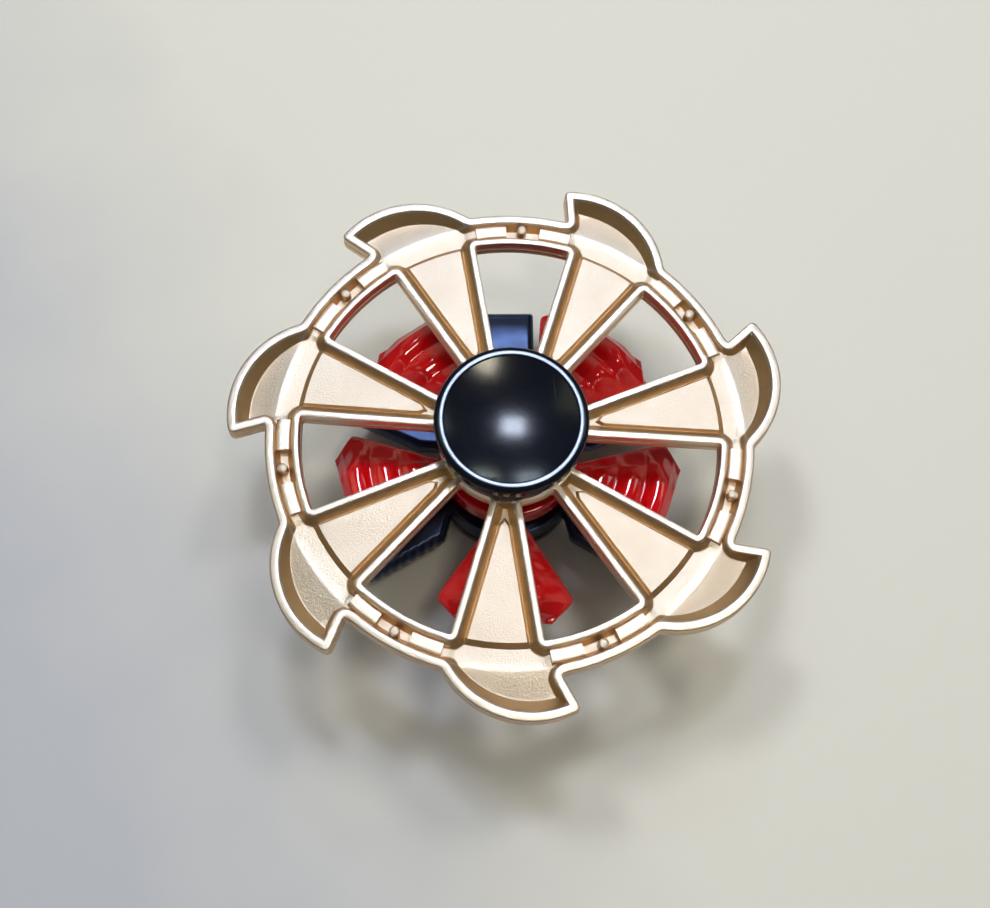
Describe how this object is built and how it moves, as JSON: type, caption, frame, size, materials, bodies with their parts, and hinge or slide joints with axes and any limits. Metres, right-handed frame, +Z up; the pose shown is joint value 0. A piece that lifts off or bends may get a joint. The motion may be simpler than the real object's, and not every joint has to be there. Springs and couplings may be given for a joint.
{
  "type": "fidget spinner",
  "caption": "Stacked finger spinner: a clawed gold wheel, a bladed red rotor and a black arm rotor turn freely on one axle between dished black finger caps.",
  "frame": {"origin": "on the spin axis, at the centre of the small flat in the lower finger cap's dish, 1.3 mm above the lip that the spinner rests on", "axes": "+Z up along the spin axis, towards the gold wheel; +X and +Y in the wheel's plane"},
  "size_m": [0.0702, 0.0699, 0.0279],
  "materials": {
    "champagne_gold": "satin champagne-gold plating with a fine cast grain and brighter polished edges",
    "candy_red": "glossy translucent red over bright metal",
    "gun_black": "glossy black with a cool blue sheen",
    "black_cap": "satin black anodised dish with a brighter turned lip and faint fine scratches",
    "plain_steel": "turned steel",
    "bearing_steel": "ground bearing steel",
    "cage_brass": "drilled brass"
  },
  "bodies": {
    "core": {"top_finger_cap": "black_cap", "bottom_finger_cap": "black_cap", "axle_stud": "plain_steel", "lower_spacer": "plain_steel", "upper_spacer": "plain_steel", "gold_inner_ring": "bearing_steel", "red_inner_ring": "bearing_steel", "black_inner_ring": "bearing_steel"},
    "gold_spinning": {"gold_wheel": "champagne_gold", "gold_outer_ring": "bearing_steel", "gold_upper_shield": "plain_steel", "gold_lower_shield": "plain_steel"},
    "red_spinning": {"red_rotor": "candy_red", "red_outer_ring": "bearing_steel", "red_upper_shield": "plain_steel", "red_lower_shield": "plain_steel"},
    "black_spinning": {"black_rotor": "gun_black", "black_outer_ring": "bearing_steel", "black_upper_shield": "plain_steel", "black_lower_shield": "plain_steel"},
    "gold_cage": {"gold_ball_cage": "cage_brass", "gold_ball_1": "bearing_steel", "gold_ball_2": "bearing_steel", "gold_ball_3": "bearing_steel", "gold_ball_4": "bearing_steel", "gold_ball_5": "bearing_steel", "gold_ball_6": "bearing_steel", "gold_ball_7": "bearing_steel", "gold_ball_8": "bearing_steel", "gold_ball_9": "bearing_steel", "gold_ball_10": "bearing_steel"},
    "red_cage": {"red_ball_cage": "cage_brass", "red_ball_1": "bearing_steel", "red_ball_2": "bearing_steel", "red_ball_3": "bearing_steel", "red_ball_4": "bearing_steel", "red_ball_5": "bearing_steel", "red_ball_6": "bearing_steel", "red_ball_7": "bearing_steel", "red_ball_8": "bearing_steel", "red_ball_9": "bearing_steel", "red_ball_10": "bearing_steel"},
    "black_cage": {"black_ball_cage": "cage_brass", "black_ball_1": "bearing_steel", "black_ball_2": "bearing_steel", "black_ball_3": "bearing_steel", "black_ball_4": "bearing_steel", "black_ball_5": "bearing_steel", "black_ball_6": "bearing_steel", "black_ball_7": "bearing_steel", "black_ball_8": "bearing_steel", "black_ball_9": "bearing_steel", "black_ball_10": "bearing_steel"}
  },
  "joints": [
    {"name": "gold_spin", "type": "hinge", "parent": "core", "child": "gold_spinning", "pos_m": [0, 0, 0.02008], "axis": [0, 0, 1], "continuous": true},
    {"name": "red_spin", "type": "hinge", "parent": "core", "child": "red_spinning", "pos_m": [0, 0, 0.01248], "axis": [0, 0, 1], "continuous": true},
    {"name": "black_spin", "type": "hinge", "parent": "core", "child": "black_spinning", "pos_m": [0, 0, 0.00518], "axis": [0, 0, 1], "continuous": true},
    {"name": "gold_cage_spin", "type": "hinge", "parent": "core", "child": "gold_cage", "pos_m": [0, 0, 0.02008], "axis": [0, 0, 1], "continuous": true},
    {"name": "red_cage_spin", "type": "hinge", "parent": "core", "child": "red_cage", "pos_m": [0, 0, 0.01248], "axis": [0, 0, 1], "continuous": true},
    {"name": "black_cage_spin", "type": "hinge", "parent": "core", "child": "black_cage", "pos_m": [0, 0, 0.00518], "axis": [0, 0, 1], "continuous": true}
  ],
  "couplings": [
    {"joint": "gold_cage_spin", "follows": "gold_spin", "ratio": 0.5834},
    {"joint": "red_cage_spin", "follows": "red_spin", "ratio": 0.5834},
    {"joint": "black_cage_spin", "follows": "black_spin", "ratio": 0.5834}
  ]
}
